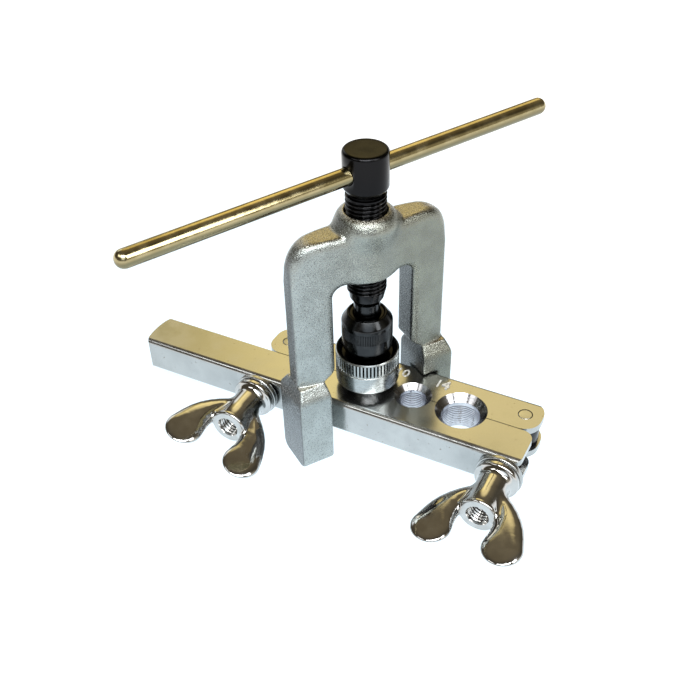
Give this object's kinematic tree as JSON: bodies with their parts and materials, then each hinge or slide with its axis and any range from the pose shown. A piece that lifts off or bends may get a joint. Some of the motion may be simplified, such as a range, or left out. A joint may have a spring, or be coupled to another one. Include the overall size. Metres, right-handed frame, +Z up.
{
  "type": "flaring tool",
  "caption": "Bar-type flaring tool for metric copper tube: clamping die bars with wing nuts, a slip-on yoke and a T-handled feed screw that presses a spinning cone.",
  "frame": {"origin": "middle of the tool's bounding box in X and Y, on the plane of the undersides of the yoke's feet", "axes": "+X along the die bars towards the end with the largest die, +Z up along the feed screw, +Y from the wing-nut side to the back"},
  "size_m": [0.168, 0.1464, 0.1193],
  "materials": {
    "nickel_plate": "satin nickel plate",
    "satin_plate": "satin plate over a forged surface",
    "bright_chrome": "bright plate",
    "black_oxide": "black oxide, satin",
    "handle_plate": "bright nickel plate",
    "bright_steel": "ground and polished"
  },
  "bodies": {
    "die_bars": {"front_die_bar": "nickel_plate", "rear_die_bar": "nickel_plate", "left_dowel": "bright_steel", "right_dowel": "bright_steel", "left_pivot_pin": "nickel_plate", "right_pivot_pin": "nickel_plate", "left_swing_bolt": "black_oxide"},
    "right_bolt": {"right_swing_bolt": "black_oxide"},
    "left_washer": {"left_washer": "nickel_plate"},
    "left_nut": {"left_wing_nut": "bright_chrome"},
    "right_washer": {"right_washer": "nickel_plate"},
    "right_nut": {"right_wing_nut": "bright_chrome"},
    "yoke": {"yoke": "satin_plate"},
    "cone_holder": {"cone_holder": "black_oxide", "retaining_ring": "black_oxide", "thrust_ball": "bright_steel"},
    "spindle": {"spindle": "black_oxide", "tommy_bar": "handle_plate"},
    "cone": {"flaring_cone": "bright_steel", "knurled_sleeve": "nickel_plate"}
  },
  "joints": [
    {"name": "yoke_slide", "type": "slide", "parent": "die_bars", "child": "yoke", "axis": [1, 0, 0], "range_m": [0, 0.0373]},
    {"name": "cone_feed", "type": "slide", "parent": "yoke", "child": "cone_holder", "axis": [0, 0, 1], "range_m": [-0.0025, 0.0135]},
    {"name": "spindle_turn", "type": "hinge", "parent": "cone_holder", "child": "spindle", "pos_m": [0.00628, 0.00391, 0.1119], "axis": [0, 0, 1], "range_deg": [-601, 3241]},
    {"name": "cone_spin", "type": "hinge", "parent": "cone_holder", "child": "cone", "pos_m": [0.00628, 0.00391, 0.034], "axis": [0, 0, 1], "continuous": true},
    {"name": "right_bolt_swing", "type": "hinge", "parent": "die_bars", "child": "right_bolt", "pos_m": [0.06498, 0.01181, 0.017], "axis": [0, 0, 1], "range_deg": [0, 90]},
    {"name": "right_washer_travel", "type": "slide", "parent": "right_bolt", "child": "right_washer", "axis": [0, -1, 0], "range_m": [-0.00031, 0.005]},
    {"name": "right_nut_turn", "type": "hinge", "parent": "right_washer", "child": "right_nut", "pos_m": [0.06498, -0.02409, 0.017], "axis": [0, -1, 0], "range_deg": [-91, 1441]},
    {"name": "left_washer_travel", "type": "slide", "parent": "die_bars", "child": "left_washer", "axis": [0, -1, 0], "range_m": [-0.00031, 0.005]},
    {"name": "left_nut_turn", "type": "hinge", "parent": "left_washer", "child": "left_nut", "pos_m": [-0.03172, -0.02409, 0.017], "axis": [0, -1, 0], "range_deg": [-91, 1441]}
  ],
  "couplings": [
    {"joint": "spindle_turn", "follows": "cone_feed", "rad_per_m": 4188.8},
    {"joint": "right_nut_turn", "follows": "right_washer_travel", "rad_per_m": 5026.5},
    {"joint": "left_nut_turn", "follows": "left_washer_travel", "rad_per_m": 5026.5}
  ]
}
